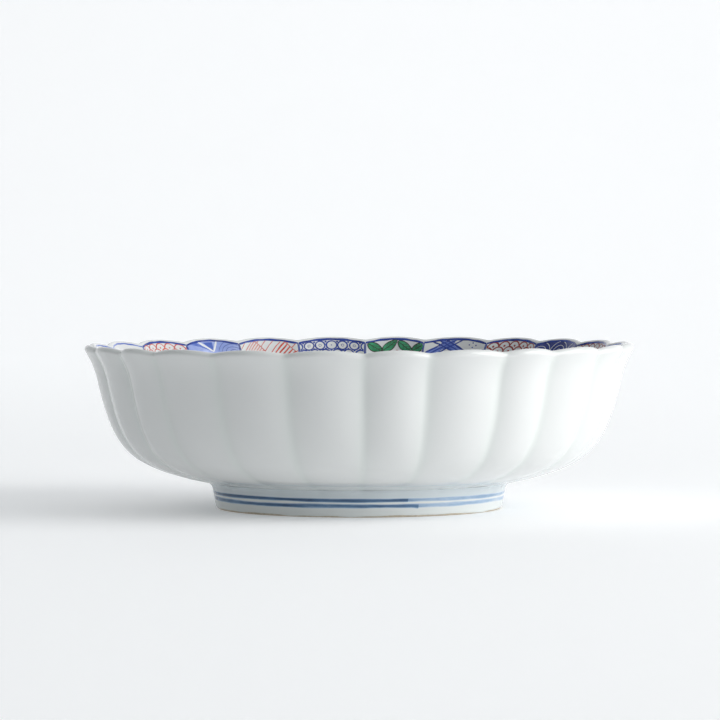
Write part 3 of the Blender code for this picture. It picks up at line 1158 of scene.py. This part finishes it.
# ---- painting: the foot bands
def foot_band(name, height, width, seed, end, blob, strength):
    """A brushed cobalt band: soft edges, uneven load, a step where the pull ends."""
    angle = around(1440)
    turn = np.mod(angle - end, TURN)
    load = 0.40 + 0.16 * np.exp(-turn / 0.10) + 0.48 * smoothstep((turn - 0.6) / 2.6)
    load = (load + 0.06 * np.sin(9 * angle + seed)) * strength
    swell = np.exp(-((TURN - turn) / 0.03) ** 2)
    rise = 0.06 * np.sin(2 * angle + seed) + 0.05 * np.sin(5 * angle + 2 * seed)
    rise = rise - 0.5 * blob * swell
    wide = 1.0 + 0.10 * np.sin(7 * angle + seed) + 0.06 * np.sin(19 * angle)
    wide = width * wide + blob * swell
    rows = []
    ink = []
    for across, lift, weight in ((-0.5, EDGE, 0.0), (-0.38, 0.03, 0.5), (-0.18, 0.04, 1.0),
                                 (0.18, 0.04, 1.0), (0.38, 0.03, 0.5), (0.5, EDGE, 0.0)):
        z = height + rise + wide * across
        rows.append(ring_row(foot_outer_radius(z) + SKIN + lift, angle, z))
        ink.append(weight * load)
    faces = grid_faces(len(rows), len(angle))
    band = piece_from(name, np.concatenate(rows), faces, FOOT_COBALT)
    add_values(band, "ink", np.concatenate(ink))
    keep_piece(band, "cobalt_blue")


make_bowl()
make_foot()
make_pooled_joint()
make_pool_line()
foot_band("upper_foot_band", 5.5, 1.40, 0.4, math.radians(288.9), 0.05, 1.0)
foot_band("lower_foot_band", 3.70, 1.50, 1.9, math.radians(293.4), 0.30, 0.88)
paint_inside()


# ---- stage, light, camera
SWEEP_PAINTED_GLOW = 0.165           # glow painted into the whole sweep, floor and back: painted light that lifts its shadows and lights the bowl from below
STAGE_GREY = (0.92, 0.925, 0.935)
STAGE_SIDE = 3.5             # metres to each side
BEND_START = 1.6             # metres behind the bowl
BEND_RADIUS = 0.8
AIR_LEFT = 0.07              # strength of the room's light from the left
AIR_RIGHT = 0.40             # and from the right, where the window is
AIR_TOP = 0.41               # what the ceiling adds straight overhead
CAMERA_PLACE = (0.0, -1.187, 0.0846)
CAMERA_DROP = 1.7645         # degrees below level
CAMERA_LENS = 181.05         # mm, on a 36 mm sensor
CAMERA_SHIFT = 0.0014


def stage_material():
    material, graph, shader = new_material("pale_sweep")
    graph.feed(shader, {
        "Base Color": graph.ramp(graph.noise(60.0, 2.0), (0.0, STAGE_GREY),
                                 (1.0, tuple(c * 0.99 for c in STAGE_GREY))),
        "Roughness": 0.75,
        # the sweep's own glow is painted light: it fills the shade on the floor and under the bowl
        "Emission Color": (1.0, 1.0, 1.0),
        "Emission Strength": SWEEP_PAINTED_GLOW})
    return material


def make_stage():
    """A pale sweep: flat floor, wide bend, upright back. It glows with painted light."""
    rows = [(y, 0.0) for y in np.linspace(-3.0, BEND_START, 12)]
    for turn in np.radians(np.linspace(0.0, 90.0, 16)[1:]):
        rows.append((BEND_START + BEND_RADIUS * math.sin(turn),
                     BEND_RADIUS - BEND_RADIUS * math.cos(turn)))
    rows.append((BEND_START + BEND_RADIUS, 3.2))
    points = [(side, y, z) for y, z in rows for side in (-STAGE_SIDE, STAGE_SIDE)]
    faces = grid_faces(len(rows), 2, False)
    floor = piece_from("pale_sweep", points, faces, stage_material())


def area_light(name, place, aim, size, power, colour=(1.0, 1.0, 1.0), spread=180.0):
    light = bpy.data.lights.new(name, "AREA")
    light.shape = "SQUARE"
    light.size = size
    light.energy = power
    light.color = colour
    light.spread = math.radians(spread)
    lamp = add_to_scene(name, light)
    lamp.location = place
    way = Vector(aim) - Vector(place)
    lamp.rotation_euler = way.to_track_quat("-Z", "Y").to_euler()


def make_air():
    """Soft light of the room, dimmer on the side away from the window."""
    world = bpy.data.worlds.new("studio_air")
    bpy.context.scene.world = world
    world.use_nodes = True
    graph = Graph(world.node_tree)
    place = graph.add("TexCoord").outputs["Generated"]
    parts = graph.add("SeparateXYZ", {"Vector": place}).outputs
    share = graph.map_range(parts["X"], (-1.0, 1.0), (AIR_LEFT, AIR_RIGHT))
    ceiling = graph.map_range(parts["Z"], (0.15, 1.0), (0.0, AIR_TOP),
                              interpolation_type="SMOOTHSTEP")
    graph.feed(world.node_tree.nodes["Background"], {
        "Color": (0.94, 0.98, 1.0),
        "Strength": graph.calculate("ADD", share, ceiling)})


def make_lights():
    make_air()
    area_light("window_right", (1.60, -0.42, 0.50), (0.0, 0.0, 0.03), 1.5, 31.0,
               (1.0, 0.99, 0.98))
    area_light("back_wash", (0.0, 0.6, 2.2), (0.0, 2.0, 0.6), 1.6, 4.8, spread=100.0)


def make_camera():
    data = bpy.data.cameras.new("camera")
    data.sensor_width = 36.0
    data.lens = CAMERA_LENS
    data.shift_x = data.shift_y = CAMERA_SHIFT
    data.clip_start = 0.01
    camera = add_to_scene("camera", data)
    camera.location = CAMERA_PLACE
    camera.rotation_euler = (math.radians(90.0 - CAMERA_DROP), 0.0, 0.0)
    bpy.context.scene.camera = camera


make_stage()
make_lights()
make_camera()
bpy.context.scene.view_settings.view_transform = "Standard"
